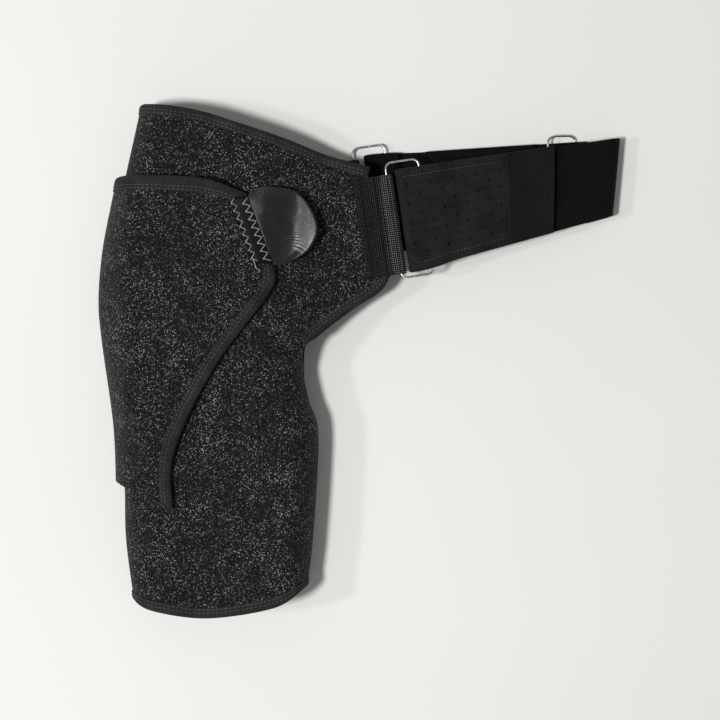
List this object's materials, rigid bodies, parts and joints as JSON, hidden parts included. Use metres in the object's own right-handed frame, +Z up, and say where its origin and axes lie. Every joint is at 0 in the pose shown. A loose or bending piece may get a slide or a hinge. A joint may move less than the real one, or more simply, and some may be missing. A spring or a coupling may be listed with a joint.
{
  "type": "cold compression shoulder wrap",
  "caption": "Neoprene shoulder wrap with an arm sleeve, a peel-back compression flap over a cold gel pack, a pull tab and an adjustable chest strap loop.",
  "frame": {"origin": "middle of the wrap's footprint, on the surface it lies on", "axes": "+X along the chest strap away from the arm, +Y from the cuff to the neck side, +Z up out of the front"},
  "size_m": [0.4097, 0.3985, 0.0662],
  "materials": {
    "neoprene": "charcoal loop-pile neoprene, matte with fine pale flecks",
    "binding": "matte knitted hem binding, a little lighter than the panels",
    "elastic": "plain matte black elastic strap",
    "perforated": "matte perforated neoprene strap with edge stitching",
    "webbing": "coarse herringbone webbing with pale threads",
    "hook": "short black hook fastener",
    "tab": "glossy black finely ribbed tab",
    "gel": "soft blue film pouch filled with gel",
    "tape": "smooth black seam tape",
    "wire": "thin bright steel wire"
  },
  "bodies": {
    "body": {"sleeve_front": "neoprene", "sleeve_back": "neoprene", "shoulder_front": "neoprene", "shoulder_back": "neoprene", "top_edge_binding_front": "binding", "top_edge_binding_back": "binding", "armpit_binding_front": "binding", "armpit_binding_back": "binding", "cuff_binding": "binding", "arm_seam_tape": "tape", "outer_seam_tape": "tape", "front_webbing_anchor": "webbing", "rear_webbing_anchor": "webbing"},
    "flap": {"flap_panel": "neoprene", "flap_edge_binding": "binding", "flap_top_binding": "binding", "tab_base_strip": "tab"},
    "tab": {"pull_tab": "tab", "tab_hook_patch": "hook"},
    "gel_pack": {"gel_pack": "gel"},
    "front_ring": {"front_ring": "wire"},
    "front_strap": {"perforated_strap": "perforated", "front_elastic": "elastic"},
    "strap_end": {"strap_hook_end": "perforated", "strap_hook_patch": "hook"},
    "rear_ring": {"rear_ring": "wire"},
    "rear_strap": {"rear_elastic": "elastic"},
    "slider": {"rear_inner_strap": "perforated", "strap_slider": "wire", "slider_end_loop": "perforated"}
  },
  "joints": [
    {"name": "flap_peel", "type": "hinge", "parent": "body", "child": "flap", "pos_m": [-0.2045, 0.02, 0.025], "axis": [0, -1, 0], "range_deg": [0, 100]},
    {"name": "tab_lift", "type": "hinge", "parent": "flap", "child": "tab", "pos_m": [-0.0765, 0.0995, 0.0655], "axis": [0.349, -0.9371, 0], "range_deg": [0, 110]},
    {"name": "gel_pack_slide", "type": "slide", "parent": "body", "child": "gel_pack", "axis": [0, 1, 0], "range_m": [0, 0.11]},
    {"name": "front_ring_swing", "type": "hinge", "parent": "body", "child": "front_ring", "pos_m": [0.02606, 0.10713, 0.032], "axis": [0.1448, -0.9895, 0], "range_deg": [0, 12]},
    {"name": "front_strap_swing", "type": "hinge", "parent": "front_ring", "child": "front_strap", "pos_m": [0.05179, 0.1109, 0.032], "axis": [0.1448, -0.9895, 0], "range_deg": [0, 5]},
    {"name": "strap_end_peel", "type": "hinge", "parent": "front_strap", "child": "strap_end", "pos_m": [0.1164, 0.126, 0.0308], "axis": [0.041, -0.9992, 0], "range_deg": [0, 90]},
    {"name": "rear_ring_swing", "type": "hinge", "parent": "body", "child": "rear_ring", "pos_m": [0.00006, 0.12113, 0.005], "axis": [0.1448, -0.9895, 0], "range_deg": [0, 10]},
    {"name": "rear_strap_swing", "type": "hinge", "parent": "rear_ring", "child": "rear_strap", "pos_m": [0.02579, 0.1249, 0.005], "axis": [0.1448, -0.9895, 0], "range_deg": [0, 4.3]},
    {"name": "adjuster_slide", "type": "slide", "parent": "rear_strap", "child": "slider", "axis": [0.9936, 0.1132, 0], "range_m": [-0.015, 0.004]}
  ],
  "couplings": [
    {"joint": "rear_ring_swing", "follows": "front_ring_swing", "ratio": 0.83},
    {"joint": "rear_strap_swing", "follows": "front_strap_swing", "ratio": 0.84}
  ]
}
